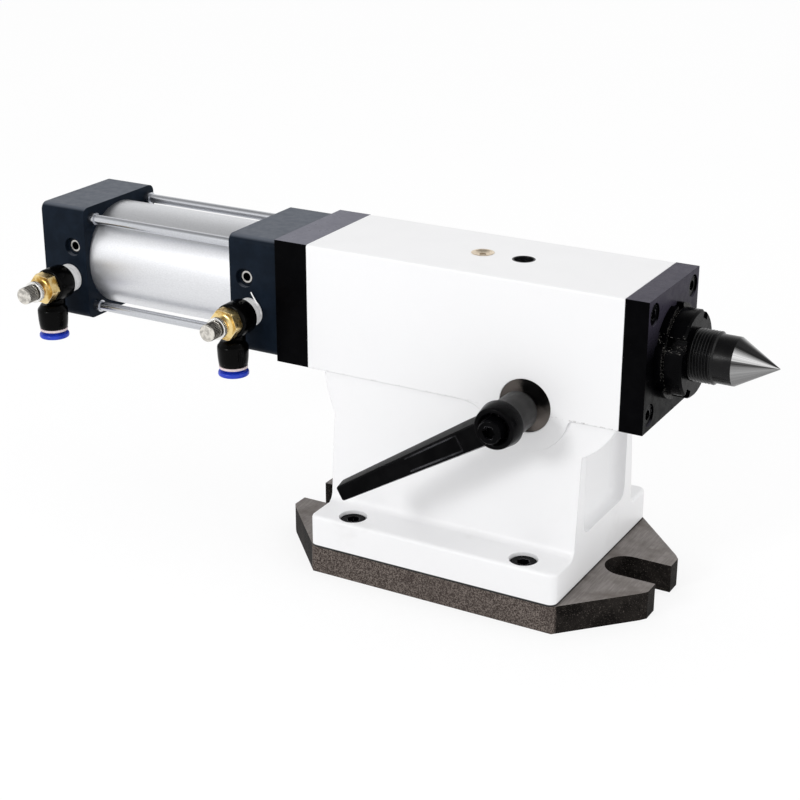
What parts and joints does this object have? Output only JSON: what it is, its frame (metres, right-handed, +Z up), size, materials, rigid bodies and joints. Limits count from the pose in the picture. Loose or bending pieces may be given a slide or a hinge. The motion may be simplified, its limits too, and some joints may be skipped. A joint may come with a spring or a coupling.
{
  "type": "pneumatic tailstock",
  "caption": "Pneumatic lathe tailstock: white quill housing on a slotted base plate, dead centre, clamp lever and tie-rod air cylinder.",
  "frame": {"origin": "middle of the base plate's underside", "axes": "+X along the spindle towards the centre's tip, -Y the side of the lever and the air ports, +Z up"},
  "size_m": [0.4112, 0.1419, 0.168],
  "materials": {
    "white_paint": "satin white paint over cast iron",
    "ground_steel": "ground steel, darkened",
    "black_oxide": "black oxide",
    "black_flange": "satin black",
    "rubber": "matt",
    "brass": "machined",
    "bronze": "machined",
    "bright_steel": "bright plated",
    "turned_steel": "turned",
    "black_anodised": "satin anodised",
    "tube_aluminium": "satin anodised",
    "lever_black": "satin powder coat on die casting",
    "centre_steel": "ground point, black oxide body",
    "black_plastic": "satin",
    "blue_plastic": "satin",
    "white_plastic": "matt",
    "pale_plastic": "satin",
    "nickel": "nickel plated"
  },
  "bodies": {
    "frame": {"base_plate": "ground_steel", "housing": "white_paint", "foot_screws": "black_oxide", "front_flange": "black_flange", "flange_screws": "black_oxide", "wiper_seal": "rubber", "retaining_ring": "black_oxide", "key_screw": "black_oxide", "oiler_body": "brass", "oiler_ball": "bright_steel", "clamp_bush_front": "turned_steel", "adapter_plate": "black_anodised", "front_cap": "black_anodised", "rear_cap": "black_anodised", "cylinder_tube": "tube_aluminium", "tube_seals": "rubber", "tie_rods": "bright_steel", "tie_rod_collars": "bright_steel", "tie_rod_end_nuts": "bright_steel", "rod_bush": "bronze", "rod_seal": "rubber", "cushion_seals": "rubber", "front_stem": "brass", "rear_stem": "brass", "front_washer": "white_plastic", "rear_washer": "white_plastic"},
    "clamp_shoe": {"clamp_shoe_rear": "turned_steel"},
    "lever": {"clamp_stud": "turned_steel", "lever_sleeve": "turned_steel", "lever_insert": "turned_steel", "lever_screw": "black_oxide", "lever_spring": "turned_steel"},
    "lever_handle": {"lever_handle": "lever_black"},
    "quill": {"quill": "black_oxide", "piston_rod": "bright_steel", "piston": "tube_aluminium", "piston_seals": "rubber", "piston_nut": "turned_steel", "cushion_spear_front": "turned_steel"},
    "centre": {"dead_centre": "centre_steel"},
    "draw_nut": {"draw_nut": "black_oxide"},
    "front_elbow": {"front_elbow": "black_plastic", "front_retainer": "pale_plastic", "front_tube_seal": "rubber"},
    "front_collet": {"front_collet": "blue_plastic"},
    "front_lock_ring": {"front_lock_ring": "nickel"},
    "front_knob": {"front_knob": "nickel"},
    "front_needle": {"cushion_needle_front": "nickel"},
    "rear_elbow": {"rear_elbow": "black_plastic", "rear_retainer": "pale_plastic", "rear_tube_seal": "rubber"},
    "rear_collet": {"rear_collet": "blue_plastic"},
    "rear_lock_ring": {"rear_lock_ring": "nickel"},
    "rear_knob": {"rear_knob": "nickel"},
    "rear_needle": {"cushion_needle_rear": "nickel"}
  },
  "joints": [
    {"name": "quill_stroke", "type": "slide", "parent": "frame", "child": "quill", "axis": [1, 0, 0], "range_m": [0, 0.05]},
    {"name": "draw_nut_turn", "type": "hinge", "parent": "quill", "child": "draw_nut", "pos_m": [0.1, 0, 0.135], "axis": [1, 0, 0], "range_deg": [0, 720]},
    {"name": "centre_draw", "type": "slide", "parent": "quill", "child": "centre", "axis": [1, 0, 0], "range_m": [0, 0.003]},
    {"name": "lever_clamp", "type": "hinge", "parent": "frame", "child": "lever", "pos_m": [0.0384, -0.05, 0.1053], "axis": [0, 1, 0], "range_deg": [-60, 60]},
    {"name": "clamp_shoe_draw", "type": "slide", "parent": "frame", "child": "clamp_shoe", "axis": [0, -1, 0], "range_m": [-0.0003, 0.0003]},
    {"name": "lever_lift", "type": "slide", "parent": "lever", "child": "lever_handle", "axis": [0, -1, 0], "range_m": [0, 0.0032], "stiffness_N_per_m": 900, "springref_m": -0.002, "deforming": ["lever_spring"]},
    {"name": "front_elbow_swivel", "type": "hinge", "parent": "frame", "child": "front_elbow", "pos_m": [-0.1215, -0.042, 0.126], "axis": [0, 1, 0], "continuous": true},
    {"name": "front_collet_press", "type": "slide", "parent": "front_elbow", "child": "front_collet", "axis": [0, 0, 1], "range_m": [0, 0.0014]},
    {"name": "front_lock_ring_turn", "type": "hinge", "parent": "frame", "child": "front_lock_ring", "pos_m": [-0.1215, -0.06, 0.126], "axis": [0, 1, 0], "continuous": true},
    {"name": "front_flow_knob_turn", "type": "hinge", "parent": "frame", "child": "front_knob", "pos_m": [-0.1215, -0.065, 0.126], "axis": [0, 1, 0], "range_deg": [-1080, 1080]},
    {"name": "front_cushion_needle_turn", "type": "hinge", "parent": "frame", "child": "front_needle", "pos_m": [-0.1245, -0.03, 0.144], "axis": [0, 1, 0], "range_deg": [-540, 540]},
    {"name": "rear_elbow_swivel", "type": "hinge", "parent": "frame", "child": "rear_elbow", "pos_m": [-0.241, -0.042, 0.126], "axis": [0, 1, 0], "continuous": true},
    {"name": "rear_collet_press", "type": "slide", "parent": "rear_elbow", "child": "rear_collet", "axis": [0, 0, 1], "range_m": [0, 0.0014]},
    {"name": "rear_lock_ring_turn", "type": "hinge", "parent": "frame", "child": "rear_lock_ring", "pos_m": [-0.241, -0.06, 0.126], "axis": [0, 1, 0], "continuous": true},
    {"name": "rear_flow_knob_turn", "type": "hinge", "parent": "frame", "child": "rear_knob", "pos_m": [-0.241, -0.065, 0.126], "axis": [0, 1, 0], "range_deg": [-1080, 1080]},
    {"name": "rear_cushion_needle_turn", "type": "hinge", "parent": "frame", "child": "rear_needle", "pos_m": [-0.238, -0.03, 0.144], "axis": [0, 1, 0], "range_deg": [-540, 540]}
  ],
  "couplings": [
    {"joint": "draw_nut_turn", "follows": "centre_draw", "rad_per_m": 4188.8},
    {"joint": "clamp_shoe_draw", "follows": "lever_clamp", "m_per_rad": 0.00027852}
  ]
}
